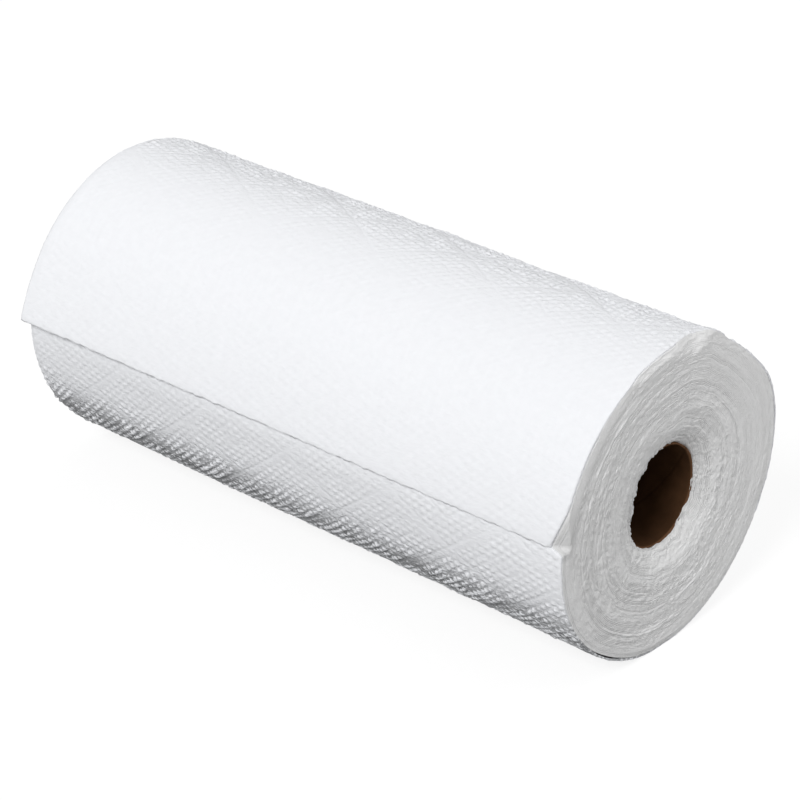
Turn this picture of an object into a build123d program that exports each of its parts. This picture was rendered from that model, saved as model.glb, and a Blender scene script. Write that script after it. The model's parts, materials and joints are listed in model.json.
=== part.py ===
from build123d import *
from math import cos, radians, sin, sqrt
import os

# A paper towel roll that lies on its side: one long sheet wound round a paperboard core.
# X runs along the roll's axis, and the end that shows its turns to the viewer points to +X.
# Z is up, and the origin is the middle of the flat spot that the soft roll rests on.
# Angles round the roll start at its top and grow towards the front, which is -Y.
# All sizes are in millimetres.

# The wound sheet
sheet_width = 279.4
sheet_thickness = 0.45
turn_slack = 0.15
roll_radius = 63.0
flat_spot_width = 18.0
rim_width = 5.0
rim_fall = 1.0

# The tail, which is the sheet's free end: it leaves the roll at its root and stands off it at its edge
tail_root_angle = 60.0
tail_edge_angle = 85.0
tail_lift_near = 0.4
tail_lift_far = 3.6

# The paperboard core, pushed into the roll at the near end
core_bore_radius = 19.8
core_wall = 0.7
core_setback = 3.2

# The turns as they show in the end faces: one spiral groove at each end, whose pitch takes in a few
# turns of the thin sheet, outside a smooth ring next to the core
groove_pitch = 4.4
groove_width = 1.6
groove_depth = 0.6
smooth_ring = 1.6
hollow_width = 15.0

# Worked out from the sizes above
half_length = sheet_width / 2
core_radius = core_bore_radius + core_wall
half_turn_step = (sheet_thickness + turn_slack) / 2
lower_radius = roll_radius - half_turn_step
inner_radius = lower_radius - half_turn_step
axis_height = sqrt(lower_radius**2 - (flat_spot_width / 2) ** 2)
ring_radius = core_radius + smooth_ring
hollow_radius = ring_radius + hollow_width


def around(radius, angle, centre_y=0.0):
    """The point (y, z) at a radius from a centre at the axis height, at an angle from the top."""
    return (centre_y - radius * sin(radians(angle)), axis_height + radius * cos(radians(angle)))


def section(tail_lift):
    """The roll across its axis, without its hole, for one lift of the tail's edge.

    The outer turn is a spiral of half circles. The lower half is centred on the axis. The upper
    half's centre lies half a turn's step to the front, so the two meet smoothly at the back, and the
    same upper half circle, one turn further in, carries the sheet on under the tail.
    """
    upper_y = -half_turn_step
    root = around(roll_radius, tail_root_angle, upper_y)
    root_below = around(roll_radius - sheet_thickness, tail_root_angle, upper_y)
    tip = around(roll_radius + tail_lift, tail_edge_angle, upper_y)
    tip_below = around(roll_radius + tail_lift - sheet_thickness, tail_edge_angle, upper_y)
    turn_below = around(inner_radius, tail_root_angle, upper_y)
    turn_middle = around(inner_radius, (tail_root_angle + 90) / 2, upper_y)
    front = (-lower_radius, axis_height)
    back = (lower_radius, axis_height)
    top = around(roll_radius, 0, upper_y)
    flat_front = (-flat_spot_width / 2, 0)
    flat_back = (flat_spot_width / 2, 0)
    leaving = (-cos(radians(tail_root_angle)), -sin(radians(tail_root_angle)))
    return make_face(
        [
            TangentArc(root, tip, tangent=leaving),
            Line(tip, tip_below),
            TangentArc(root_below, tip_below, tangent=leaving),
            Line(root_below, turn_below),
            ThreePointArc(turn_below, turn_middle, front),
            ThreePointArc(front, around(lower_radius, 135), flat_front),
            Line(flat_front, flat_back),
            ThreePointArc(flat_back, around(lower_radius, 225), back),
            ThreePointArc(back, top, root),
        ]
    )


def wound_body():
    """The roll from end to end, with the tail lifting more and more towards the far end."""
    across = Plane(origin=(0, 0, 0), x_dir=(0, 1, 0), z_dir=(1, 0, 0))
    far = across.offset(-half_length) * section(tail_lift_far)
    near = across.offset(half_length) * section(tail_lift_near)
    return loft([far, near], ruled=True)


def face_dip(radius, end):
    """How far an end face lies back at a radius: at its rim, and at the near end towards the core."""
    rim_dip = rim_fall * max(radius - (roll_radius - rim_width), 0) / rim_width
    if end < 0:
        return rim_dip
    return rim_dip + core_setback * min(max(hollow_radius - radius, 0), hollow_width) / hollow_width


def end_shape():
    """A round bar with the roll's two end faces, wide enough to hold the lifted tail."""
    outside = roll_radius + max(tail_lift_near, tail_lift_far) + 2 * half_turn_step
    radii = [0, ring_radius, hollow_radius, roll_radius - rim_width, outside]
    near = [(half_length - face_dip(radius, 1), radius) for radius in radii]
    far = [(face_dip(radius, -1) - half_length, radius) for radius in radii]
    corners = near + [far[-1], far[-2], far[0]]
    return Pos(0, 0, axis_height) * revolve(make_face(Polyline(*corners, close=True)), Axis.X, 360)


def groove(radius, end):
    """Half a turn of the groove between turns: a V cut, from +Y over the top to -Y."""
    face = end * (half_length - face_dip(radius, end))
    inner_edge = (face + end * groove_depth, radius - groove_width)
    outer_edge = (face + end * groove_depth, radius + groove_width)
    bottom = (face - end * groove_depth, radius)
    return revolve(make_face(Polyline(inner_edge, outer_edge, bottom, close=True)), Axis.X, 180)


def turn_grooves(end):
    """The spiral groove of one end face, made of half turns round two centres.

    The upper half turns are centred half a pitch in front of the axis, so each of them runs from one
    lower half turn at the back to the next larger one at the front.
    """
    first = ring_radius + groove_pitch / 2
    last = inner_radius - groove_pitch / 2 - groove_width
    count = max(int((last - first) / groove_pitch), 0) + 1
    upper_place = Pos(0, -groove_pitch / 2, axis_height)
    lower_place = Pos(0, 0, axis_height) * Rot(180, 0, 0)
    halves = []
    for turn in range(count):
        radius = first + turn * groove_pitch
        halves.append(upper_place * groove(radius, end))
        halves.append(lower_place * groove(radius + groove_pitch / 2, end))
    return halves


def towel_web():
    """The whole wound sheet: its turns, its free tail and the hole that the core fills."""
    hole = Pos(0, 0, axis_height) * Rot(0, 90, 0) * Cylinder(core_radius, 2 * sheet_width)
    web = (wound_body() & end_shape()) - hole
    for end in (1, -1):
        web -= turn_grooves(end)
    return web


def core():
    """The paperboard tube, flush with the sheet at the far end and set back at the near end."""
    length = sheet_width - core_setback
    tube = Cylinder(core_radius, length) - Cylinder(core_bore_radius, length)
    return Pos(-core_setback / 2, 0, axis_height) * Rot(0, 90, 0) * tube


os.makedirs("parts", exist_ok=True)
export_step(towel_web(), "parts/towel_web.step")
export_step(core(), "parts/core.step")
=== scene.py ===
"""Looks of a paper towel roll that lies on its side: embossed tissue, the edges of its turns, its core."""

import json
import math

import bpy
import numpy as np
from bpy.props import FloatProperty, FloatVectorProperty, PointerProperty
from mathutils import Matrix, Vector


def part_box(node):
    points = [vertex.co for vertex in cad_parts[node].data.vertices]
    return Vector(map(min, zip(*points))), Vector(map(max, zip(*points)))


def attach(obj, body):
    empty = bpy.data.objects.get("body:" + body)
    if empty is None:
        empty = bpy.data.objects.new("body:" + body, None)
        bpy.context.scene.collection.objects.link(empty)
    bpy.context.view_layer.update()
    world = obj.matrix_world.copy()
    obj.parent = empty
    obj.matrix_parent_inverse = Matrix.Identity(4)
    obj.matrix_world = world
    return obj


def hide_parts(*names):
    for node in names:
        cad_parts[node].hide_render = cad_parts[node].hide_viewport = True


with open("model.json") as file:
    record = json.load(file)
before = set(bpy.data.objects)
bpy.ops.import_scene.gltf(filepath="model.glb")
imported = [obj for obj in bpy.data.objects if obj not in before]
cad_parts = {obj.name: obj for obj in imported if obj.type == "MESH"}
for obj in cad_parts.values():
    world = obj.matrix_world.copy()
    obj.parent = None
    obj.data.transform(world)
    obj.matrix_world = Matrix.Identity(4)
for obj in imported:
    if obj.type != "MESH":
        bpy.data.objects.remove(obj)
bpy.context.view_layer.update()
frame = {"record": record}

bl_info = {
    "name": "Paper towel roll",
    "version": (1, 0, 0),
    "blender": (4, 5, 0),
    "location": "View3D > Sidebar > Towel roll",
    "description": "Builds an embossed paper towel roll round a packed frame",
    "category": "Add Mesh",
}

# Sizes of the frame, in metres. X runs along the roll, and angles round it start at the top and grow
# towards the front, which is -Y
web_low, web_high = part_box("towel_web")
core_low, core_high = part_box("core")
HALF_LENGTH = (web_high.x - web_low.x) / 2
AXIS_HEIGHT = (core_high.z + core_low.z) / 2
CORE_RADIUS = (core_high.z - core_low.z) / 2
ROLL_RADIUS = web_high.z - AXIS_HEIGHT
MOUNTS = {mount["name"]: mount for mount in frame["record"]["mounts"]}
BORE_RADIUS = MOUNTS["core_bore"]["dims"]["r_mm"] / 1000
CORE_NEAR_X = core_high.x
CORE_FAR_X = core_low.x

# The outer sheets: the angle of the tail's edge, how much of the third sheet is made, how wide the curl
# of the two side edges is, and the grid, of which the inner side takes each third row and fourth column
TAIL_ANGLE = math.radians(85.0)
THIRD_LENGTH = 0.137
NEAR_CURL, FAR_CURL = 0.0018, 0.0062
FULL_ROWS, THIRD_ROWS, SHEET_COLUMNS = 219, 201, 408
SKIP_ROW, SKIP_COLUMN = 3, 4

# Places where the outer turns stand out of round, as the height of each, its place from the top and its
# width in degrees: at the back, on top of the near end, and next to its rim
BACK_SLACK = [(0.0030, -81, 29)]
TOP_SLACK = [(0.0012, -14, 13), (-0.0010, -44, 13), (0.0010, -68, 14)]
RIM_SLACK = [(0.0011, -20, 6), (-0.0006, -31, 4)]

# The pressed pattern: the middle of one lozenge along the roll and along the sheet, the share of a
# lozenge that the small one in it takes, the half width of its lines, where the plain ribbon beside two
# of them starts to end and ends, and the waves of the dots to a metre along the roll and the sheet
LOZENGE_X, LOZENGE_ALONG = 0.0595, 0.372
INNER_LOZENGE = 0.30
LINE_WIDTH = 0.0006
RIBBON_INSIDE, RIBBON_EDGE = 0.0029, 0.0036
WAVE_A, WAVE_B = (234, -258), (-70, -305)
WAVE_C = (WAVE_A[0] - WAVE_B[0], WAVE_A[1] - WAVE_B[1])

# The turns in the two ends: how many there are, the rows of each turn as its share of the turn and its
# depth, the columns round the roll, how far the turns stand off the core, where they lean in over it at
# the near end, and where they sag under the outer sheet, as heights, places and widths like those above
TURNS = 70
NEAR_STEPS = [(0.0, 0.0), (0.52, 0.00003), (0.78, 0.00026)]
FAR_STEPS = [(0.0, 0.0), (0.6, 0.00032)]
NEAR_COLUMNS, FAR_COLUMNS = 448, 256
OFF_CORE = 0.00004
LEANS = [(-0.0019, 80, 42), (0.0019, -38, 26), (0.0012, -12, 7), (-0.0020, -136, 9), (0.0007, 142, 16)]
PATCHY_SAG, BACK_SAG = (0.0013, 165, 30), (0.0011, -76, 30)

# The core board: how far its joint climbs along the roll in a turn, how much nearer to the joint a place
# is than the way along the roll says, how far its near end lies behind the frame's, and its grid
BOARD_CLIMB = 0.072
BOARD_SLOPE = 0.86
BOARD_SETBACK = 0.0019
BOARD_ROWS, BOARD_COLUMNS = 300, 144

# The stage: the ways from which the two suns shine and their widths in degrees, the place and the width
# of the side lamp, the camera's place from the middle of the roll's axis, and the way it looks
KEY_SOURCE, KEY_SPREAD = (0.14, -0.76, 0.63), 24
BACK_SOURCE, BACK_SPREAD = (0.0, 0.70, 0.71), 70
SIDE_PLACE, SIDE_WIDTH = (0.50, 0.42, 0.20), 0.45
CAMERA_PLACE = (0.65728, -0.72382, 0.50725)
CAMERA_LOOK = (-0.59089, 0.65847, -0.46612)


class RollSizes(bpy.types.PropertyGroup):
    """Sizes of the wound sheet and its tail."""

    turn_step: FloatProperty(
        name="Turn step", description="How much one turn adds to the radius",
        default=0.0006, unit="LENGTH", precision=5)
    sheet_length: FloatProperty(
        name="Sheet length", description="From one perforated line to the next, along the sheet",
        default=0.150, unit="LENGTH", precision=4)
    thickness: FloatProperty(
        name="Thickness", description="Thickness of the tissue as it stands in the tail",
        default=0.0004, unit="LENGTH", precision=5)
    tail_root: FloatProperty(
        name="Tail root", description="Angle from the top at which the tail leaves the roll",
        default=math.radians(58.0), subtype="ANGLE")
    lift_near: FloatProperty(
        name="Lift, near end", description="How far the tail's edge stands off the roll at the near end",
        default=0.0003, unit="LENGTH", precision=5)
    lift_far: FloatProperty(
        name="Lift, far end", description="How far the tail's edge stands off the roll at the far end",
        default=0.0036, unit="LENGTH", precision=5)
    hollow_depth: FloatProperty(
        name="Hollow depth", description="How far the turns next to the core lie back at the near end",
        default=0.0042, unit="LENGTH", precision=5)
    hollow_width: FloatProperty(
        name="Hollow width", description="Width of the ring of turns that slopes down to the core",
        default=0.0155, unit="LENGTH", precision=4)


class EmbossSizes(bpy.types.PropertyGroup):
    """Sizes of the pattern pressed into the tissue."""

    lozenge_along: FloatProperty(
        name="Lozenge along the roll", description="Distance from one lozenge to the next along the roll",
        default=0.0541, unit="LENGTH", precision=4)
    lozenge_round: FloatProperty(
        name="Lozenge round the roll", description="Distance from one lozenge to the next round the roll",
        default=0.038, unit="LENGTH", precision=4)
    skew: FloatProperty(
        name="Skew", description="How far the pattern climbs round the roll for each metre along it",
        default=0.1)
    line_depth: FloatProperty(
        name="Line depth", description="Depth of the lines that draw the lozenges",
        default=0.00026, unit="LENGTH", precision=5)
    dot_height: FloatProperty(
        name="Dot height", description="Height of the small bumps between the lines",
        default=0.00095, unit="LENGTH", precision=5)


class Finishes(bpy.types.PropertyGroup):
    """Colours of the paper and the board."""

    tissue: FloatVectorProperty(
        name="Tissue", description="Colour of the towel", subtype="COLOR", size=3,
        default=(0.86, 0.87, 0.895))
    edge: FloatVectorProperty(
        name="Turn edges", description="Colour of the cut edges of the turns", subtype="COLOR", size=3,
        default=(0.85, 0.85, 0.85))
    # Painted shade: the core's colour is far darker than real board, and stands in for the shade deep in the
    # bore
    shaded_board: FloatVectorProperty(
        name="Shaded core board", description="Colour of the paperboard core", subtype="COLOR", size=3,
        default=(0.075, 0.037, 0.018))


class StageSettings(bpy.types.PropertyGroup):
    """Light and camera."""

    sky: FloatProperty(
        name="Sky", description="Strength of the even light from all round", default=0.39)
    key: FloatProperty(
        name="Key", description="Strength of the main lamp, high in front of the roll", default=2.22)
    back: FloatProperty(
        name="Back", description="Strength of the wide lamp behind the roll", default=0.44)
    side: FloatProperty(
        name="Side", description="Power in watts of the wide lamp beside the near end", default=0.9)
    lens: FloatProperty(
        name="Lens", description="Focal length in millimetres", default=126.42)


# Shapes

def soft_noise(u, v, seed, period=64):
    """Smooth random heights from -1 to 1 over u and v.

    A table holds a random number for each whole u and v, and the four numbers round a point are
    blended by a smooth step. The table repeats after period steps of u, and after 64 of v.
    """
    table = np.random.default_rng(seed).uniform(-1, 1, (period, 64))
    low_u, low_v = np.floor(u).astype(int), np.floor(v).astype(int)
    part_u, part_v = u - low_u, v - low_v
    part_u = part_u * part_u * (3 - 2 * part_u)
    part_v = part_v * part_v * (3 - 2 * part_v)
    corner = [[table[(low_u + i) % period, (low_v + j) % 64] for j in (0, 1)] for i in (0, 1)]
    first = corner[0][0] * (1 - part_v) + corner[0][1] * part_v
    second = corner[1][0] * (1 - part_v) + corner[1][1] * part_v
    return first * (1 - part_u) + second * part_u


def ring_noise(angle, waves, v, seed, shift=0.0):
    """Soft noise round the roll, which closes after a whole number of waves, over a second value."""
    return soft_noise(angle / (2 * np.pi) * waves + shift, v, seed, period=waves)


def step_between(value, low, high):
    """0 below low, 1 above high, and a smooth cubic step between them."""
    part = np.clip((value - low) / (high - low), 0, 1)
    return part * part * (3 - 2 * part)


def step_at(angle, low, high):
    """The same step over an angle, with its two ends in degrees."""
    return step_between(angle, math.radians(low), math.radians(high))


def hump(value, centre, width):
    """A bell of height 1 at centre that falls to about a third at width from it."""
    return np.exp(-(((value - centre) / width) ** 2))


def turned(angle):
    """The same angle between minus pi and pi."""
    return (angle + np.pi) % (2 * np.pi) - np.pi


def swell(angle, height, place, width):
    """A bell round the roll with its height, and with its place from the top and its width in degrees."""
    return height * hump(turned(angle - math.radians(place)), 0, math.radians(width))


def swells(angle, bells):
    """The sum of several such bells."""
    return sum(swell(angle, *bell) for bell in bells)


def curl(part):
    """A quarter of a circle: how far it has fallen, from 0 to 1, at a share of its width."""
    return 1 - np.sqrt(1 - part**2)


def front_share(angle):
    """1 round the front and the top, where the outer turns hug the roll, and 0 at its back."""
    return step_between(np.cos(angle - math.radians(65)), -0.45, 0.10)


def slackness(angle, x):
    """How far the outer turns stand out of round.

    The wide swelling at the back fades over the whole roll, those on top keep to the near end's last
    quarter, and the crest with its notch keeps to the last few millimetres. A slow noise is added.
    """
    near = 0.12 + 0.88 * step_between(x, 0.1 * HALF_LENGTH, HALF_LENGTH)
    tip = step_between(x, 0.75 * HALF_LENGTH, HALF_LENGTH)
    crushed = step_between(x, 0.93 * HALF_LENGTH, HALF_LENGTH)
    slack = near * swells(angle, BACK_SLACK) + tip * swells(angle, TOP_SLACK)
    slack = slack + crushed * swells(angle, RIM_SLACK)
    return slack + 0.00022 * ring_noise(turned(angle), 9, x / 0.05, 3)


def rest_limit(angle):
    """The radius at which the roll meets what it lies on."""
    down = np.maximum(-np.cos(angle), 1e-3)
    return AXIS_HEIGHT / down


def lozenge_reach(sizes):
    """How far the middle of a lozenge is from its lines."""
    half_a, half_b = sizes.lozenge_along / 2, sizes.lozenge_round / 2
    return half_a * half_b / math.hypot(half_a, half_b)


def emboss(along, x, sizes):
    """Height of the pressed pattern at a place on the flat sheet.

    Three waves at about sixty degrees add up to rows of small round bumps, and noise shifts them and
    makes them uneven. Slanting lines cross the sheet both ways and draw lozenges, each with a smooth
    ribbon beside two of its lines and a small lozenge in its middle. A finer noise is the crepe.
    """
    across = x - LOZENGE_X
    climb = along - LOZENGE_ALONG - sizes.skew * across
    slant_a = 2 * across / sizes.lozenge_along + 2 * climb / sizes.lozenge_round
    slant_b = 2 * across / sizes.lozenge_along - 2 * climb / sizes.lozenge_round
    slant_a = slant_a - 2 * np.round(slant_a / 2)
    slant_b = slant_b - 2 * np.round(slant_b / 2)
    share = np.maximum(np.abs(slant_a), np.abs(slant_b))
    reach = lozenge_reach(sizes)
    border = (1 - share) * reach
    beside = np.minimum(1 - slant_a, 1 + slant_b) * reach
    inner = np.abs(share - INNER_LOZENGE) * reach
    grooves = hump(border, 0, LINE_WIDTH) + 0.8 * hump(inner, 0, LINE_WIDTH)
    grooves = grooves + 0.4 * hump(beside, RIBBON_EDGE, 0.0005)
    ribbon = 1 - step_between(beside, RIBBON_INSIDE, RIBBON_EDGE)
    smooth = np.clip(ribbon + 0.8 * hump(inner, 0, 0.0011) + hump(border, 0, 0.0008), 0, 1)
    wobble = 0.5 * soft_noise(x / 0.011, along / 0.011, 5) + 0.55 * soft_noise(x / 0.0045, along / 0.0045, 7)
    wave_a = 2 * np.pi * (WAVE_A[0] * x + WAVE_A[1] * along) + wobble
    wave_b = 2 * np.pi * (WAVE_B[0] * x + WAVE_B[1] * along) + wobble
    waves = np.cos(wave_a) + np.cos(wave_b) + np.cos(wave_a - wave_b)
    dots = step_between(waves, -1.5, 2.4) - 0.38
    dots = sizes.dot_height * dots * (0.68 + 0.75 * soft_noise(x / 0.0052, along / 0.0047, 6))
    height = dots * (1 - 0.8 * smooth) - sizes.line_depth * grooves + 0.2 * sizes.line_depth * ribbon
    return height + 0.00027 * soft_noise(x / 0.0024 + along / 0.0040, along / 0.0015, 8)


def pressing(angle, winding):
    """How crisply the pattern stands: least on the smoothed tail, little beside it, and most elsewhere.

    The tail is smoothest round 50 degrees from the top and the turn under its edge round 70 degrees.
    The roll's weight presses the pattern a little flatter underneath.
    """
    tail = step_between(np.cos(angle - math.radians(50)), 0.26, 0.90)
    low, high = math.cos(math.radians(50)), math.cos(math.radians(30))
    beside = step_between(np.cos(angle - math.radians(70)), low, high)
    smoothed = np.where(winding < 0.5, 0.15 + 0.74 * tail, 0.76 * beside)
    underneath = 0.35 * step_between(-np.cos(angle), 0.58, 0.80)
    return (1 - smoothed) * (1 - underneath)


def recesses(angle):
    """How far the outer turns stop short of the near end, at the tail's corner and on top."""
    place = turned(angle)
    corner = 0.0060 * np.clip((place - math.radians(62)) / math.radians(23), 0, 1) ** 2
    corner = corner * (1 - step_at(place, 84.6, 86.6))
    top = 0.0012 * step_at(-place, -30, -18) + 0.0016 * step_at(-place, -4, 12)
    return corner, top * (1 - step_at(-place, 8, 24))


def sheet_end(angle):
    """How far from the near end the outer sheet stops."""
    corner, top = recesses(angle)
    return 0.0001 + np.maximum(corner + top, 0.0004)


def sheet_angle(along, sizes):
    """Angle round the roll at a distance along the sheet from the tail's edge."""
    return TAIL_ANGLE - along / (ROLL_RADIUS - sizes.turn_step / 2)


def sheet_points(along, x, sizes, pattern):
    """Outer and inner radius and the angle of the wound sheet at a distance along it from the tail.

    The sheet is a spiral: its radius falls by one turn step each turn. To that come the tail's lift,
    which grows with the square of the way from its root to its edge, the slack, the pressed pattern
    and the curl of its two side edges, a quarter of an ellipse. The turn under the tail follows most
    of its lift, and the torn edge dips a little. Where the roll rests, the sheet is cut flat.
    """
    angle = sheet_angle(along, sizes)
    winding = (TAIL_ANGLE - angle) / (2 * np.pi)
    far_share = (HALF_LENGTH - x) / (2 * HALF_LENGTH)
    lift = sizes.lift_near + (sizes.lift_far - sizes.lift_near) * far_share
    on_tail = np.clip((angle - sizes.tail_root) / (TAIL_ANGLE - sizes.tail_root), 0, 1)
    under_tail = hump(angle + 2 * np.pi, math.radians(86), math.radians(9)) * (1 - far_share**3)
    under_tail = under_tail * (0.65 + 0.20 * step_between(far_share, 0.02, 0.2))
    torn_edge = hump(along, 0, 0.0012)
    radius = ROLL_RADIUS - sizes.turn_step * winding + slackness(angle, x)
    radius = radius + lift * (on_tail**2 + under_tail) - 0.0002 * torn_edge
    at_tail = step_at(angle, 30, 80) * (winding < 0.5)
    near_part = np.clip((x - (HALF_LENGTH - sheet_end(angle) - NEAR_CURL)) / NEAR_CURL, 0, 0.97)
    far_part = np.clip((-x - (HALF_LENGTH - FAR_CURL)) / FAR_CURL, 0, 0.97)
    radius = radius - (0.0003 + 0.0004 * at_tail) * curl(near_part)
    radius = radius - 0.0026 * (1 - 0.85 * at_tail) * curl(far_part)
    height = emboss(along, x, pattern) * pressing(angle, winding) * (1 - 0.7 * near_part**2)
    outer = np.minimum(radius + height, rest_limit(angle))
    wall = sizes.thickness * (1 + 0.9 * near_part**2) * (1 - 0.5 * torn_edge)
    inner = np.minimum(radius + 0.6 * height, rest_limit(angle)) - wall
    return angle, outer, inner


def at(angle, radius, x):
    """Points at an angle from the top and a radius from the roll's axis."""
    x, radius, angle = np.broadcast_arrays(x, radius, angle)
    return np.stack([x, -radius * np.sin(angle), AXIS_HEIGHT + radius * np.cos(angle)], axis=-1)


def grid_faces(index, flip=False):
    """Quads between the neighbours of a grid of vertex numbers, as one array."""
    quads = np.stack([index[:-1, :-1], index[:-1, 1:], index[1:, 1:], index[1:, :-1]], axis=-1)
    quads = quads.reshape(-1, 4)
    return quads[:, ::-1] if flip else quads


def edge_strip(fine, coarse, skip, flip):
    """Faces between a fine edge and a coarse one, whose points stand at every skip-th fine point."""
    upper = np.stack([fine[i:len(fine) - skip + i:skip] for i in range(skip + 1)], axis=-1)
    faces = np.concatenate([upper, coarse[1:, None], coarse[:-1, None]], axis=1)
    return faces[:, ::-1] if flip else faces


def make_piece(name, points, faces, material):
    """A mesh object at the origin from points and faces, smooth shaded, riding on the roll's body."""
    mesh = bpy.data.meshes.new(name)
    mesh.from_pydata(points.tolist(), [], faces)
    mesh.polygons.foreach_set("use_smooth", np.ones(len(mesh.polygons), bool))
    mesh.materials.append(material)
    mesh.update()
    piece = bpy.data.objects.new(name, mesh)
    bpy.context.scene.collection.objects.link(piece)
    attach(piece, "root")
    return piece


def set_flat_map(mesh, flat):
    """Gives the mesh a UV map with each vertex's place on the flat sheet, in metres."""
    corners = np.empty(len(mesh.loops), np.int32)
    mesh.loops.foreach_get("vertex_index", corners)
    layer = mesh.uv_layers.new(name="flat_sheet")
    layer.uv.foreach_set("vector", flat[corners].astype(np.float32).ravel())


def set_mark(mesh, label, values):
    """Gives the mesh an attribute with one value for each vertex, for its material."""
    mark = mesh.attributes.new(label, "FLOAT", "POINT")
    mark.data.foreach_set("value", values.astype(np.float32))


def sheet_piece(name, start, length, rows, material, sizes, pattern):
    """One length of the wound sheet as a closed skin.

    The outside is a fine grid of rows round the roll by columns along it. The inside is a coarser grid
    under it, and strips of many-sided faces close the four sides. The two side edges are frayed by
    noise, and so is the tail's edge, where the sheet was torn off.
    """
    along = start + length * np.linspace(0, 1, rows + 1)[:, None]
    part = np.linspace(-1, 1, SHEET_COLUMNS + 1)[None, :]
    fray = 0.00006 * soft_noise(along / 0.009, 0.0, 13) + 0.00010 * soft_noise(along / 0.0016, 0.0, 14)
    short = np.where(part > 0, sheet_end(sheet_angle(along, sizes)) + fray, -0.0004 - fray)
    x = part * HALF_LENGTH - short * part**8
    if start == 0:
        tear = 0.00026 * soft_noise(x / 0.0012, 0.0, 11) + 0.00008 * soft_noise(x / 0.009, 0.0, 12)
        along = along + tear * np.clip(1 - along / 0.004, 0, 1)
    angle, outer, inner = sheet_points(along, x, sizes, pattern)
    outside = at(angle, outer, x)
    inside = at(angle, inner, x)[::SKIP_ROW, ::SKIP_COLUMN]
    flat = np.stack(np.broadcast_arrays(x, along), axis=-1)
    points = np.concatenate([outside.reshape(-1, 3), inside.reshape(-1, 3)])
    flat_points = np.concatenate([flat.reshape(-1, 2), flat[::SKIP_ROW, ::SKIP_COLUMN].reshape(-1, 2)])
    fine = np.arange(outside.shape[0] * outside.shape[1]).reshape(outside.shape[:2])
    coarse = fine.size + np.arange(inside.shape[0] * inside.shape[1]).reshape(inside.shape[:2])
    quads = [grid_faces(fine), grid_faces(coarse, True)]
    strips = [edge_strip(fine[:, 0], coarse[:, 0], SKIP_ROW, False),
              edge_strip(fine[:, -1], coarse[:, -1], SKIP_ROW, True),
              edge_strip(fine[0], coarse[0], SKIP_COLUMN, True),
              edge_strip(fine[-1], coarse[-1], SKIP_COLUMN, False)]
    faces = np.concatenate(quads).tolist()
    for strip in strips:
        faces += strip.tolist()
    piece = make_piece(name, points, faces, material)
    smooth = np.arange(len(faces)) < sum(len(part) for part in quads)
    piece.data.polygons.foreach_set("use_smooth", smooth)
    set_flat_map(piece.data, flat_points)
    crisp = pressing(angle, along / (2 * np.pi * ROLL_RADIUS))
    # Painted shade for the hollows of the pattern: faint on top, and full under the roll from 106 to 129
    # degrees
    shaded = 0.08 + 0.92 * step_at(turned(angle), 106, 129)
    for label, values in (("crispness", crisp), ("shaded", shaded * crisp)):
        values = np.broadcast_to(values, outer.shape)
        values = np.concatenate([values.ravel(), values[::SKIP_ROW, ::SKIP_COLUMN].ravel()])
        set_mark(piece.data, label, values)
    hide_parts("towel_web")
    return piece


def hollow_shape(radius, angle, depth, sizes):
    """Depth of the hollow round the core: a wide shallow dish and a steep part next to the hole."""
    share = 1 - np.clip((radius - CORE_RADIUS) / sizes.hollow_width, 0, 1)
    steep = 1 - np.clip((radius - CORE_RADIUS) / (0.5 * sizes.hollow_width), 0, 1)
    deeper = 1 + swell(angle, 0.3, -50, 60)
    return depth * deeper * (0.42 * share**1.3 + 0.58 * steep**1.4)


def turn_shifts(radius, angle, winding, seed):
    """How far each stretch of a turn's edge lies forward or back.

    Noises of several sizes add up: whole turns, bundles of turns, folds, streaks that follow a turn,
    and crinkles, which are larger and coarser in the torn turns next to the core.
    """
    shift = 0.00009 * soft_noise(winding * 1.7, 0.0, seed)
    bundle = 0.00022 * ring_noise(angle, 13, radius / 0.0045, seed + 1)
    fold = 0.00014 * ring_noise(angle, 70, radius / 0.0021, seed + 6)
    streak = 0.00008 * ring_noise(angle, 27, radius / 0.0013, seed + 2, winding * 0.31)
    torn = 1 - step_between(radius, 0.0215, 0.0320)
    size = 0.00025 * (0.75 + 0.5 * ring_noise(angle, 11, radius / 0.006, seed + 5) + 1.0 * torn)
    sway = 1.2 * ring_noise(angle, 37, radius / 0.0021, seed + 7)
    climb = radius / 0.0010 + 0.9 * ring_noise(angle, 53, radius / 0.0027, seed + 8)
    crinkle = (1 - torn) * ring_noise(angle, 210, climb, seed + 3, sway)
    crinkle = size * (crinkle + torn * ring_noise(angle, 120, climb, seed + 4, sway))
    return shift + bundle + fold + streak + crinkle


def turns_radius(angle, end, sizes):
    """Outer radius of the wound turns at an end: inside the outer sheet's wall, and less where they sag."""
    winding = (TAIL_ANGLE - angle) / (2 * np.pi) % 1
    layers = winding + 1 - step_between(winding, 0.109, 0.118)
    patchy = 0.6 + 0.7 * ring_noise(turned(angle), 15, 0.0, 61)
    sag = patchy * swell(angle, *PATCHY_SAG) + swell(angle, *BACK_SAG)
    radius = ROLL_RADIUS - 0.00018 - sizes.turn_step * layers + slackness(angle, end * HALF_LENGTH) - sag
    return np.minimum(radius, rest_limit(angle) - 0.0004)


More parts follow.
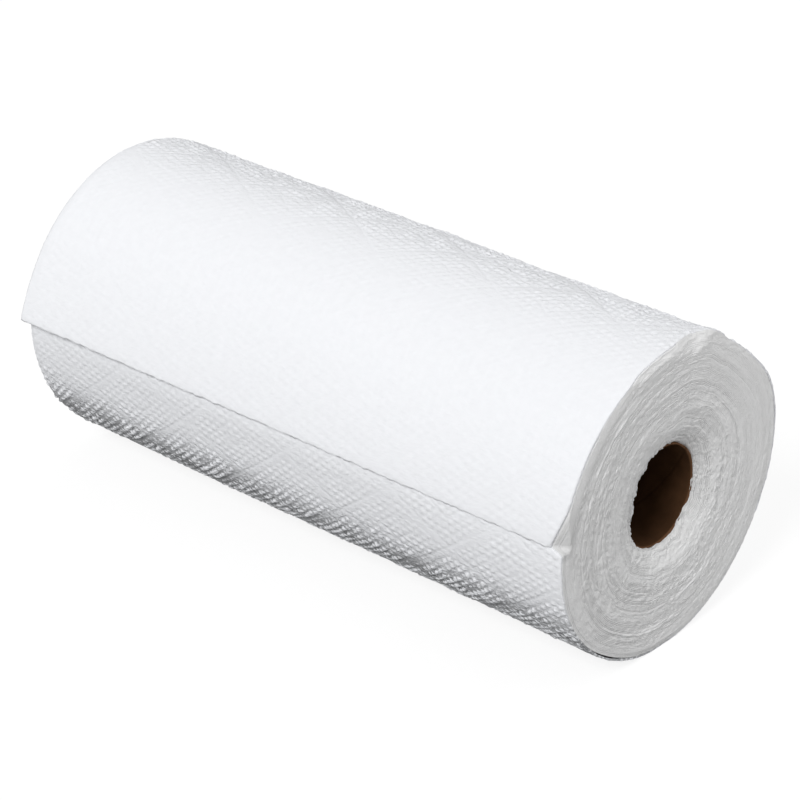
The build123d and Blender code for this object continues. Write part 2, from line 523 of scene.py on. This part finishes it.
def near_face(radius, angle, winding, sizes):
    """How far the near end's turns lie back, how loose they are, and where painted shade darkens the recess
    under the tail's corner.

    The depth adds up the hollow, a low rim, the recesses behind the outer sheet and each turn's own
    shift. The turns are tight under the front of the outer sheet and calm at the back.
    """
    uneven = 1 + 0.15 * ring_noise(angle, 5, radius / 0.02, 21)
    back = uneven * hollow_shape(radius, angle, sizes.hollow_depth, sizes)
    rim = np.clip((radius - (ROLL_RADIUS - 0.0060)) / 0.0050, 0, 0.98)
    back = back + 0.0004 * rim**2
    corner, top = recesses(angle)
    under = turns_radius(angle, 1, sizes) - radius
    back = np.maximum(back, np.maximum(corner - under / 0.85, top - under / 3.0))
    place = turned(angle)
    tight = step_between(radius, ROLL_RADIUS - 0.0066, ROLL_RADIUS - 0.0046) * front_share(angle)
    tight = tight * step_at(place, 18, 36) * (1 - 0.6 * step_at(place, 66, 80))
    calm = swell(angle, 0.68, -66, 56) * step_between(radius, 0.038, 0.047)
    loose = (1 - 0.9 * tight) * (1 - calm)
    # Painted shade in the recess under the tail's corner: this mask darkens the turns' colour there
    wear_and_shade = step_at(place, 64, 80) * (1 - step_between(place, 1.53, 1.56))
    wear_and_shade = wear_and_shade * (1 - step_between(under, 0.004, 0.006))
    return back + loose * turn_shifts(radius, angle, winding, 30), loose, wear_and_shade


def far_face(radius, angle, winding, sizes):
    """How far the far end's turns lie back: almost flat, with a rim and each turn's own shift."""
    rim = np.clip((radius - (ROLL_RADIUS - 0.0068)) / 0.0056, 0, 0.98)
    back = hollow_shape(radius, angle, 0.0009, sizes) + 0.0046 * curl(rim)
    return back + 0.0003 + turn_shifts(radius, angle, winding, 40), 1.0, 0.0


def hole_radius(angle, end):
    """Radius of the hole's edge: at the near end the first turns are torn and lean in over the core."""
    if end < 0:
        return CORE_RADIUS + 0.00005 + 0 * angle
    torn = 0.00050 * ring_noise(angle, 31, 0.0, 28) + 0.00034 * ring_noise(angle, 67, 0.0, 29)
    return 0.0197 + swells(angle, LEANS) + torn


def end_skin(end, face, steps, columns, sizes):
    """One end as rows of vertices that follow the spiral, between two closed rings.

    The row number and the share of a turn add up to the winding, and the radius grows with the winding
    from the hole's edge to the outer radius. A turn's rows are its edge and the gap beyond it. The last
    column of a row meets the first column of the row one turn further out.
    """
    step = len(steps)
    rows = (np.arange(TURNS)[:, None] + np.array([place for place, depth in steps])).ravel()
    rows = np.append(rows, TURNS)
    depth = np.append(np.tile([depth for place, depth in steps], TURNS), steps[0][1])[:, None]
    angle = 2 * np.pi * np.arange(columns) / columns
    winding = rows[:, None] + angle / (2 * np.pi)
    share = winding / (TURNS + 1)
    inside, outside = hole_radius(angle, end), turns_radius(angle, end, sizes)
    radius = inside + (outside - inside) * share
    around = np.broadcast_to(angle, radius.shape)
    back, loose, wear_and_shade = face(radius, around, winding, sizes)
    open_gap = np.clip(0.45 + 1.1 * ring_noise(around, 10, winding * 0.6, 26), 0.05, 1.3)
    back = back + depth * open_gap * loose
    # Painted shade: the gaps between the turns and the recess under the tail's corner are marked to be
    # darkened
    gap = np.maximum((depth > 0.0001) * loose * open_gap, wear_and_shade)
    radii = np.concatenate([np.full((1, columns), CORE_RADIUS + OFF_CORE), radius, (outside - 0.0005)[None]])
    backs = np.concatenate([(back[0] + 0.0012)[None], back, (back[-1] + 0.0015)[None]])
    # Painted shade: the ring at the hole and the ring at the rim are marked to be darkened in full
    gaps = np.concatenate([np.ones((1, columns)), gap, np.ones((1, columns))])
    points = at(angle[None, :], radii, end * (HALF_LENGTH - backs))
    index = np.arange(radii.size).reshape(radii.shape)
    ring, body, rim = index[0], index[1:-1], index[-1]
    wrap = [body[:-1 - step, -1], body[step:-1, 0], body[step + 1:, 0], body[1:-step, -1]]
    quads = [grid_faces(body), np.stack(wrap, axis=-1),
             np.stack([ring[:-1], ring[1:], body[0, 1:], body[0, :-1]], axis=-1),
             np.stack([body[-1, :-1], body[-1, 1:], rim[1:], rim[:-1]], axis=-1)]
    faces = np.concatenate(quads).tolist()
    faces.append([ring[-1], ring[0], *body[:step + 1, 0], body[0, -1]])
    faces.append([*body[-1 - step:, -1], rim[-1], rim[0], body[-1, 0]][::-1])
    if end > 0:
        faces = [face[::-1] for face in faces]
    return points.reshape(-1, 3), gaps.ravel(), faces, ring, rim


def turns_piece(name, end, face, steps, columns, material, sizes):
    """The turns of one half of the roll as a closed skin: its spiral end, outside, hole and middle.

    Below the rim the outside dives under the outer sheet and runs straight to the middle of the roll.
    """
    points, gaps, faces, ring, rim = end_skin(end, face, steps, columns, sizes)
    angle = 2 * np.pi * np.arange(columns) / columns
    middle_radius = np.minimum(ROLL_RADIUS - 0.0022, rest_limit(angle) - 0.0006)
    middle = [at(angle, CORE_RADIUS + OFF_CORE, 0.0), at(angle, middle_radius, 0.0),
              at(angle, middle_radius, end * (HALF_LENGTH - 0.012))]
    middle_ring = len(points) + np.arange(columns)
    rows = np.stack([ring, middle_ring, middle_ring + columns, middle_ring + 2 * columns, rim])
    wall = grid_faces(np.concatenate([rows, rows[:, :1]], axis=1), end < 0)
    faces = [[int(corner) for corner in face] for face in faces] + wall.tolist()
    piece = make_piece(name, np.concatenate([points, *middle]), faces, material)
    set_mark(piece.data, "gap", np.concatenate([gaps, np.zeros(3 * columns)]))
    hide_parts("towel_web")
    return piece


def core_piece(material):
    """The paperboard tube: a closed wall with the groove of its slanting joint and a worn near end.

    Its rows are two rings of the outside and then the inside, from the near end to the far end. The
    groove is a bell over the distance from the helix on which the strip's edges meet.
    """
    rows, columns = BOARD_ROWS, BOARD_COLUMNS
    angle = 2 * np.pi * np.arange(columns) / columns
    wear_and_shade = 0.0004 * ring_noise(angle, 13, 0.0, 51)
    near_x = CORE_NEAR_X - BOARD_SETBACK + wear_and_shade
    along = np.linspace(0, 1, rows + 1)[:, None]
    inner_x = near_x + (CORE_FAR_X - near_x) * along
    winding = angle / (2 * np.pi) + inner_x / BOARD_CLIMB
    joint = np.abs(winding - np.round(winding)) * BOARD_CLIMB * BOARD_SLOPE
    inner = BORE_RADIUS + 0.00014 * hump(joint, 0, 0.0006) + 0.00016 * hump(along, 0, 0.002)
    radius = np.concatenate([np.full((2, columns), CORE_RADIUS), inner])
    x = np.concatenate([np.full((1, columns), CORE_FAR_X), near_x[None], inner_x])
    index = np.arange(radius.size).reshape(radius.shape)
    faces = grid_faces(np.concatenate([index, index[:1]])[:, list(range(columns)) + [0]])
    piece = make_piece("core_tube", at(angle[None, :], radius, x).reshape(-1, 3), faces.tolist(), material)
    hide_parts("core")
    return piece


# Materials

def new_group(name, inputs, outputs):
    """An empty shader group with named sockets, and its input and output nodes."""
    group = bpy.data.node_groups.new(name, "ShaderNodeTree")
    for label, kind, value in inputs:
        socket = group.interface.new_socket(label, in_out="INPUT", socket_type=kind)
        if value is not None:
            socket.default_value = value
    for label, kind in outputs:
        group.interface.new_socket(label, in_out="OUTPUT", socket_type=kind)
    return group, group.nodes.new("NodeGroupInput"), group.nodes.new("NodeGroupOutput")


def add_node(tree, kind, settings=None, **values):
    """A node with its settings made, and its input sockets set or linked by name or as i and a number."""
    node = tree.nodes.new(kind)
    for key, value in (settings or {}).items():
        setattr(node, key, value)
    for key, value in values.items():
        socket = node.inputs[int(key[1:])] if key[0] == "i" and key[1:].isdigit() else node.inputs[key]
        if isinstance(value, bpy.types.NodeSocket):
            tree.links.new(value, socket)
        else:
            socket.default_value = value
    return node


def maths(tree, operation, *values):
    """The result socket of a Math node."""
    inputs = {f"i{i}": value for i, value in enumerate(values)}
    return add_node(tree, "ShaderNodeMath", {"operation": operation}, **inputs).outputs[0]


def vector_maths(tree, operation, *values, result="Vector", **more):
    """A result socket of a Vector Math node."""
    inputs = {f"i{i}": value for i, value in enumerate(values)}
    return add_node(tree, "ShaderNodeVectorMath", {"operation": operation}, **inputs, **more).outputs[result]


def ramp(tree, value, low, high, first, last, kind="LINEAR"):
    """A value that goes from first to last while another goes from low to high, and stays there."""
    return add_node(tree, "ShaderNodeMapRange", {"interpolation_type": kind},
                    Value=value, i1=low, i2=high, i3=first, i4=last).outputs[0]


def noise(tree, vector, scale, detail, roughness):
    """The value of a Noise Texture."""
    return add_node(tree, "ShaderNodeTexNoise", Vector=vector, Scale=scale, Detail=detail,
                    Roughness=roughness).outputs[0]


def marked(tree, label):
    """The value that the mesh holds for each vertex under a label."""
    return add_node(tree, "ShaderNodeAttribute", {"attribute_name": label}).outputs["Fac"]


def bumped(tree, height, strength, distance, **below):
    """The normal of a Bump node over a height, on top of another normal if one is given."""
    return add_node(tree, "ShaderNodeBump", Height=height, Strength=strength, Distance=distance,
                    **below).outputs[0]


def blend(tree, mask, first, second):
    """A colour between two by a mask, where each of the two is a colour or the socket of one."""
    first, second = [value if isinstance(value, bpy.types.NodeSocket) else (*value, 1)
                     for value in (first, second)]
    return add_node(tree, "ShaderNodeMix", {"data_type": "RGBA"}, i0=mask, i6=first, i7=second).outputs[2]


def dimmed(colour, share):
    """A colour made darker, or lighter by a share above 1."""
    return [share * part for part in colour]


def fibre_group():
    """Pulp fibres: a fine and a coarse noise over a vector in metres, as a height and a fleck mask."""
    group, given, result = new_group(
        "Pulp fibres",
        [("Vector", "NodeSocketVector", None), ("Fibre size", "NodeSocketFloat", 0.0004),
         ("Stretch", "NodeSocketFloat", 3.0)],
        [("Height", "NodeSocketFloat"), ("Fleck", "NodeSocketFloat")])
    scale = maths(group, "DIVIDE", 1.0, given.outputs["Fibre size"])
    stretch = add_node(group, "ShaderNodeCombineXYZ", X=1.0, Y=given.outputs["Stretch"], Z=1.0).outputs[0]
    place = vector_maths(group, "MULTIPLY", given.outputs["Vector"], stretch)
    fine = noise(group, place, scale, 3.0, 0.6)
    coarse = noise(group, given.outputs["Vector"], maths(group, "MULTIPLY", scale, 0.13), 2.0, 0.5)
    height = maths(group, "ADD", maths(group, "MULTIPLY", fine, 0.7), maths(group, "MULTIPLY", coarse, 0.3))
    group.links.new(height, result.inputs["Height"])
    group.links.new(ramp(group, coarse, 0.3, 0.7, 0.0, 1.0), result.inputs["Fleck"])
    return group


def fibres(tree, vector, size, stretch):
    """The height and the fleck mask of the pulp fibre group placed in a material."""
    node = tree.nodes.new("ShaderNodeGroup")
    node.node_tree = bpy.data.node_groups["Pulp fibres"]
    tree.links.new(vector, node.inputs["Vector"])
    node.inputs["Fibre size"].default_value = size
    node.inputs["Stretch"].default_value = stretch
    return node.outputs["Height"], node.outputs["Fleck"]


def new_material(name, roughness, specular):
    """A material with its Principled BSDF, and constants set on its sockets."""
    material = bpy.data.materials.new(name)
    material.use_nodes = True
    shader = material.node_tree.nodes["Principled BSDF"]
    shader.inputs["Roughness"].default_value = roughness
    shader.inputs["Specular IOR Level"].default_value = specular
    return material, material.node_tree, shader


def line_mask(tree, distance, width):
    """1 on a line and 0 beyond its width, with a soft slope."""
    return ramp(tree, maths(tree, "ABSOLUTE", distance), 0.0, width, 1.0, 0.0, "SMOOTHSTEP")


def plane_wave(tree, x, along, wave, shift):
    """A cosine wave over the flat sheet, with its number of waves to a metre both ways and its shift."""
    phase = maths(tree, "ADD", maths(tree, "MULTIPLY", x, 2 * math.pi * wave[0]),
                  maths(tree, "MULTIPLY_ADD", along, 2 * math.pi * wave[1], shift))
    return maths(tree, "COSINE", phase)


def emboss_height(tree, flat, pattern):
    """The pressed pattern again, sharper than the mesh can hold it: dots up to 1, and lines below 0."""
    split = add_node(tree, "ShaderNodeSeparateXYZ", Vector=flat)
    x, along = split.outputs["X"], split.outputs["Y"]
    across = maths(tree, "SUBTRACT", x, LOZENGE_X)
    climb = maths(tree, "SUBTRACT", maths(tree, "SUBTRACT", along, LOZENGE_ALONG),
                  maths(tree, "MULTIPLY", across, pattern.skew))
    along_share = maths(tree, "MULTIPLY", across, 1 / pattern.lozenge_along)
    round_share = maths(tree, "MULTIPLY", climb, 1 / pattern.lozenge_round)
    reach = lozenge_reach(pattern)
    slants = []
    for operation in ("ADD", "SUBTRACT"):
        half = maths(tree, "ADD", maths(tree, operation, along_share, round_share), 0.5)
        slants.append(maths(tree, "MULTIPLY_ADD", maths(tree, "FRACT", half), 2.0, -1.0))
    share = maths(tree, "MAXIMUM", *[maths(tree, "ABSOLUTE", slant) for slant in slants])
    beside = maths(tree, "MINIMUM", maths(tree, "SUBTRACT", 1.0, slants[0]),
                   maths(tree, "ADD", slants[1], 1.0))
    border = line_mask(tree, maths(tree, "SUBTRACT", 1.0, share), 0.0011 / reach)
    edge = line_mask(tree, maths(tree, "SUBTRACT", beside, RIBBON_EDGE / reach), 0.0008 / reach)
    inner = line_mask(tree, maths(tree, "SUBTRACT", share, INNER_LOZENGE), 0.0010 / reach)
    ribbon = ramp(tree, beside, RIBBON_INSIDE / reach, RIBBON_EDGE / reach, 1.0, 0.0)
    wobble = maths(tree, "MULTIPLY_ADD", noise(tree, flat, 170.0, 1.0, 0.5), 6.0, -3.0)
    waves = maths(tree, "ADD", maths(tree, "ADD", plane_wave(tree, x, along, WAVE_A, wobble),
                                     plane_wave(tree, x, along, WAVE_B, wobble)),
                  plane_wave(tree, x, along, WAVE_C, 0.0))
    dots = ramp(tree, waves, -1.2, 2.6, 0.0, 1.0, "SMOOTHSTEP")
    lozenges = maths(tree, "MAXIMUM", border, inner)
    bare = maths(tree, "MULTIPLY_ADD", maths(tree, "MAXIMUM", ribbon, lozenges), -0.7, 1.0)
    lines = maths(tree, "ADD", maths(tree, "MULTIPLY", edge, 0.4), lozenges)
    return maths(tree, "SUBTRACT", maths(tree, "MULTIPLY", dots, bare), maths(tree, "MULTIPLY", lines, 0.5))


def perforation(tree, flat, sheet_length):
    """Mask of the short cuts across the roll that part one sheet from the next: 1 in a cut."""
    split = add_node(tree, "ShaderNodeSeparateXYZ", Vector=flat)
    away = maths(tree, "PINGPONG", split.outputs["Y"], sheet_length / 2)
    line = ramp(tree, away, 0.00018, 0.0004, 1.0, 0.0)
    dash = maths(tree, "PINGPONG", split.outputs["X"], 0.0021)
    cut = ramp(tree, dash, 0.0005, 0.0007, 0.0, 1.0)
    inside = maths(tree, "GREATER_THAN", split.outputs["Y"], sheet_length / 2)
    return maths(tree, "MULTIPLY", maths(tree, "MULTIPLY", line, cut), inside)


def tissue_material(colour, pattern, sizes):
    """Soft matt tissue: sharp embossing, crepe and pulp fibres, and a faint unevenness of colour.

    The hollows of the embossing get painted shade, faint on top and strongest under the roll, and the cuts
    of the perforated lines are darker.
    """
    material, tree, shader = new_material("Embossed tissue", 0.95, 0.2)
    flat = add_node(tree, "ShaderNodeUVMap", {"uv_map": "flat_sheet"}).outputs[0]
    pulp, fleck = fibres(tree, flat, 0.0005, 1.6)
    crepe = fibres(tree, flat, 0.0021, 2.2)[0]
    crisp = marked(tree, "crispness")
    creping = maths(tree, "MULTIPLY", crepe, maths(tree, "MULTIPLY_ADD", crisp, 2.6, 0.4))
    grain = maths(tree, "ADD", maths(tree, "MULTIPLY", pulp, 0.5), creping)
    holes = perforation(tree, flat, sizes.sheet_length)
    ragged = maths(tree, "MULTIPLY_ADD", crepe, 3.4, -1.6)
    pressed = maths(tree, "MULTIPLY", maths(tree, "ADD", emboss_height(tree, flat, pattern), ragged), crisp)
    coarse_normal = bumped(tree, pressed, 0.8, 0.00045)
    normal = bumped(tree, maths(tree, "SUBTRACT", grain, holes), 0.35, 0.0003, Normal=coarse_normal)
    tree.links.new(normal, shader.inputs["Normal"])
    paper = blend(tree, fleck, dimmed(colour, 0.975), colour)
    # Painted shade: the hollows of the pattern are darkened, most where the shaded mark is high, under the
    # roll
    hollow = ramp(tree, pressed, 0.5, 0.1, 0.0, 1.0)
    hollow_shade = maths(tree, "MULTIPLY", hollow, maths(tree, "MULTIPLY", marked(tree, "shaded"), 0.95))
    shade_and_cuts = maths(tree, "MAXIMUM", hollow_shade, holes)
    tree.links.new(blend(tree, shade_and_cuts, paper, dimmed(colour, 0.30)), shader.inputs["Base Color"])
    return material


def turn_edge_material(colour):
    """Cut edges of the turns: streaks that follow the turns, and painted shade in the gaps between the
    sheets, in the recess under the tail's corner and in the rings at the hole and at the rim.

    The streaks are noise over the radius and the direction from the roll's axis.
    """
    material, tree, shader = new_material("Turn edges", 0.95, 0.15)
    place = add_node(tree, "ShaderNodeTexCoord").outputs["Object"]
    centred = vector_maths(tree, "SUBTRACT", place, (0.0, 0.0, AXIS_HEIGHT))
    flat = vector_maths(tree, "MULTIPLY", centred, (0.0, 1.0, 1.0))
    radius = vector_maths(tree, "LENGTH", flat, result="Value")
    direction = vector_maths(tree, "SCALE", vector_maths(tree, "NORMALIZE", flat), Scale=0.030)
    outwards = add_node(tree, "ShaderNodeCombineXYZ", X=radius, Y=0.0, Z=0.0).outputs[0]
    polar = vector_maths(tree, "ADD", direction, outwards)
    streak = fibres(tree, polar, 0.0007, 1.0)[0]
    pulp = fibres(tree, place, 0.0006, 1.0)[0]
    height = maths(tree, "ADD", maths(tree, "MULTIPLY", streak, 0.6), maths(tree, "MULTIPLY", pulp, 0.8))
    tree.links.new(bumped(tree, height, 0.8, 0.0005), shader.inputs["Normal"])
    broad = noise(tree, polar, 420.0, 2.0, 0.55)
    paper = blend(tree, broad, dimmed(colour, 0.92), dimmed(colour, 1.04))
    # Painted shade: the marked gaps, recess and rings are darkened towards 0.65 of the colour
    gap = maths(tree, "MULTIPLY", marked(tree, "gap"), 0.5)
    tree.links.new(blend(tree, gap, paper, dimmed(colour, 0.65)), shader.inputs["Base Color"])
    return material


def board_material(colour):
    """Brown paperboard, its colour set far darker than real board as painted shade for the deep bore: pulp
    flecks, the slanting joints of its wound strip, and a paler cut end.
    """
    material, tree, shader = new_material("Shaded core board", 0.9, 0.03)
    place = add_node(tree, "ShaderNodeTexCoord").outputs["Object"]
    split = add_node(tree, "ShaderNodeSeparateXYZ", Vector=place)
    x = split.outputs["X"]
    angle = maths(tree, "ARCTAN2", split.outputs["Y"],
                  maths(tree, "SUBTRACT", split.outputs["Z"], AXIS_HEIGHT))
    winding = maths(tree, "ADD", maths(tree, "DIVIDE", angle, 2 * math.pi),
                    maths(tree, "DIVIDE", x, BOARD_CLIMB))
    joint = ramp(tree, maths(tree, "PINGPONG", winding, 0.5), 0.0, 0.012, 1.0, 0.0)
    pulp, fleck = fibres(tree, place, 0.0009, 1.0)
    # Painted shade: the dark board colour stands in for the shade in the bore
    shaded_board = blend(tree, fleck, dimmed(colour, 0.8), dimmed(colour, 1.15))
    end_x = CORE_NEAR_X - BOARD_SETBACK
    cut = ramp(tree, x, end_x - 0.0010, end_x - 0.0004, 0.0, 1.0)
    shaded_board = blend(tree, cut, shaded_board, (2.0 * colour[0], 2.1 * colour[1], 2.3 * colour[2]))
    shaded_board = blend(tree, maths(tree, "MULTIPLY", joint, 0.4), shaded_board, dimmed(colour, 0.45))
    tree.links.new(shaded_board, shader.inputs["Base Color"])
    relief = maths(tree, "SUBTRACT", maths(tree, "MULTIPLY", pulp, 0.4), joint)
    tree.links.new(bumped(tree, relief, 0.4, 0.0003), shader.inputs["Normal"])
    return material


# Stage

def add_floor():
    """A plain pale floor, a little brighter to the camera so that it meets the white background."""
    side = 6.0
    mesh = bpy.data.meshes.new("floor")
    corners = [(-side, -side, 0), (side, -side, 0), (side, side, 0), (-side, side, 0)]
    mesh.from_pydata(corners, [], [(0, 1, 2, 3)])
    floor = bpy.data.objects.new("floor", mesh)
    bpy.context.scene.collection.objects.link(floor)
    material, tree, shader = new_material("Pale floor", 1.0, 0.0)
    seen = tree.nodes.new("ShaderNodeLightPath").outputs["Is Camera Ray"]
    tree.links.new(blend(tree, seen, (0.35, 0.35, 0.35), (0.2, 0.2, 0.2)), shader.inputs["Base Color"])
    level = maths(tree, "MULTIPLY", seen, 0.84)
    glow = add_node(tree, "ShaderNodeEmission", Color=(1, 1, 1, 1), Strength=level)
    both = add_node(tree, "ShaderNodeAddShader", i0=shader.outputs[0], i1=glow.outputs[0])
    tree.links.new(both.outputs[0], tree.nodes["Material Output"].inputs["Surface"])
    mesh.materials.append(material)


def add_sky(strength):
    """An even white world, white where the camera or a reflection sees it."""
    world = bpy.data.worlds.new("Even sky")
    world.use_nodes = True
    tree = world.node_tree
    path = tree.nodes.new("ShaderNodeLightPath")
    seen = maths(tree, "MAXIMUM", path.outputs["Is Camera Ray"],
                 maths(tree, "MAXIMUM", path.outputs["Is Glossy Ray"], path.outputs["Is Transmission Ray"]))
    background = tree.nodes["Background"]
    background.inputs["Color"].default_value = (1, 1, 1, 1)
    tree.links.new(ramp(tree, seen, 0.0, 1.0, strength, 1.0), background.inputs["Strength"])
    bpy.context.scene.world = world


def add_sun(name, strength, source, spread):
    """A wide soft sun that shines from a direction, with its angular size in degrees."""
    lamp = bpy.data.lights.new(name, "SUN")
    lamp.energy = strength
    lamp.angle = math.radians(spread)
    sun = bpy.data.objects.new(name, lamp)
    sun.rotation_euler = Vector(source).to_track_quat("Z", "Y").to_euler()
    bpy.context.scene.collection.objects.link(sun)


def add_panel(name, power, place, towards, side):
    """A square lamp with its power in watts, at a place and turned towards another."""
    lamp = bpy.data.lights.new(name, "AREA")
    lamp.energy = power
    lamp.size = side
    panel = bpy.data.objects.new(name, lamp)
    panel.location = place
    look = Vector(towards) - Vector(place)
    panel.rotation_euler = look.to_track_quat("-Z", "Y").to_euler()
    bpy.context.scene.collection.objects.link(panel)


def add_camera(lens):
    """The camera at the photograph's viewing angle, 41.9 degrees round and 27.8 degrees up."""
    data = bpy.data.cameras.new("Camera")
    data.lens = lens
    data.sensor_width = 36.0
    camera = bpy.data.objects.new("Camera", data)
    camera.location = (CAMERA_PLACE[0], CAMERA_PLACE[1], CAMERA_PLACE[2] + AXIS_HEIGHT)
    camera.rotation_euler = Vector(CAMERA_LOOK).to_track_quat("-Z", "Y").to_euler()
    bpy.context.scene.collection.objects.link(camera)
    bpy.context.scene.camera = camera


# Operators

class ROLL_OT_sheets(bpy.types.Operator):
    """Builds the last sheet with its tail, and the two before it that close the turn."""

    bl_idname = "towel_roll.sheets"
    bl_label = "Outer sheets"

    def execute(self, context):
        sizes, pattern = context.scene.roll_sizes, context.scene.roll_emboss
        tissue = tissue_material(context.scene.roll_finishes.tissue, pattern, sizes)
        length = sizes.sheet_length
        sheet_piece("last_sheet", 0.0, length, FULL_ROWS, tissue, sizes, pattern)
        sheet_piece("second_sheet", length, length, FULL_ROWS, tissue, sizes, pattern)
        sheet_piece("third_sheet", 2 * length, THIRD_LENGTH, THIRD_ROWS, tissue, sizes, pattern)
        return {"FINISHED"}


class ROLL_OT_turns(bpy.types.Operator):
    """Builds the wound turns, half the roll each, whose edges show in the two ends."""

    bl_idname = "towel_roll.turns"
    bl_label = "Wound turns"

    def execute(self, context):
        sizes = context.scene.roll_sizes
        edges = turn_edge_material(context.scene.roll_finishes.edge)
        turns_piece("near_turns", 1, near_face, NEAR_STEPS, NEAR_COLUMNS, edges, sizes)
        turns_piece("far_turns", -1, far_face, FAR_STEPS, FAR_COLUMNS, edges, sizes)
        return {"FINISHED"}


class ROLL_OT_core(bpy.types.Operator):
    """Builds the paperboard core."""

    bl_idname = "towel_roll.core"
    bl_label = "Core"

    def execute(self, context):
        core_piece(board_material(context.scene.roll_finishes.shaded_board))
        return {"FINISHED"}


class ROLL_OT_stage(bpy.types.Operator):
    """Builds the floor, the even sky, the three lamps and the camera."""

    bl_idname = "towel_roll.stage"
    bl_label = "Stage"

    def execute(self, context):
        settings = context.scene.roll_stage
        add_floor()
        add_sky(settings.sky)
        add_sun("Key", settings.key, KEY_SOURCE, KEY_SPREAD)
        add_sun("Back", settings.back, BACK_SOURCE, BACK_SPREAD)
        add_panel("Side", settings.side, SIDE_PLACE, (HALF_LENGTH, 0, AXIS_HEIGHT), SIDE_WIDTH)
        add_camera(settings.lens)
        return {"FINISHED"}


class ROLL_PT_panel(bpy.types.Panel):
    """Lists the sizes and colours of the roll, and the steps that build it."""

    bl_label = "Towel roll"
    bl_idname = "ROLL_PT_panel"
    bl_space_type = "VIEW_3D"
    bl_region_type = "UI"
    bl_category = "Towel roll"

    def draw(self, context):
        for name, group in SETTINGS.items():
            box = self.layout.box()
            for setting in group.__annotations__:
                box.prop(getattr(context.scene, name), setting)
        for operator in OPERATORS:
            self.layout.operator(operator.bl_idname)


SETTINGS = {"roll_sizes": RollSizes, "roll_emboss": EmbossSizes, "roll_finishes": Finishes,
            "roll_stage": StageSettings}
OPERATORS = (ROLL_OT_sheets, ROLL_OT_turns, ROLL_OT_core, ROLL_OT_stage)


def register():
    """Registers the settings, the operators and the panel."""
    for name, group in SETTINGS.items():
        bpy.utils.register_class(group)
        setattr(bpy.types.Scene, name, PointerProperty(type=group))
    for cls in (*OPERATORS, ROLL_PT_panel):
        bpy.utils.register_class(cls)


def unregister():
    """Takes the panel, the operators and the settings away again."""
    for cls in (ROLL_PT_panel, *reversed(OPERATORS)):
        bpy.utils.unregister_class(cls)
    for name, group in SETTINGS.items():
        delattr(bpy.types.Scene, name)
        bpy.utils.unregister_class(group)


def main():
    """Builds the roll and its stage."""
    register()
    fibre_group()
    bpy.ops.towel_roll.sheets()
    bpy.ops.towel_roll.turns()
    bpy.ops.towel_roll.core()
    bpy.ops.towel_roll.stage()
    bpy.context.scene.view_settings.view_transform = "Standard"


if __name__ == "__main__":
    main()
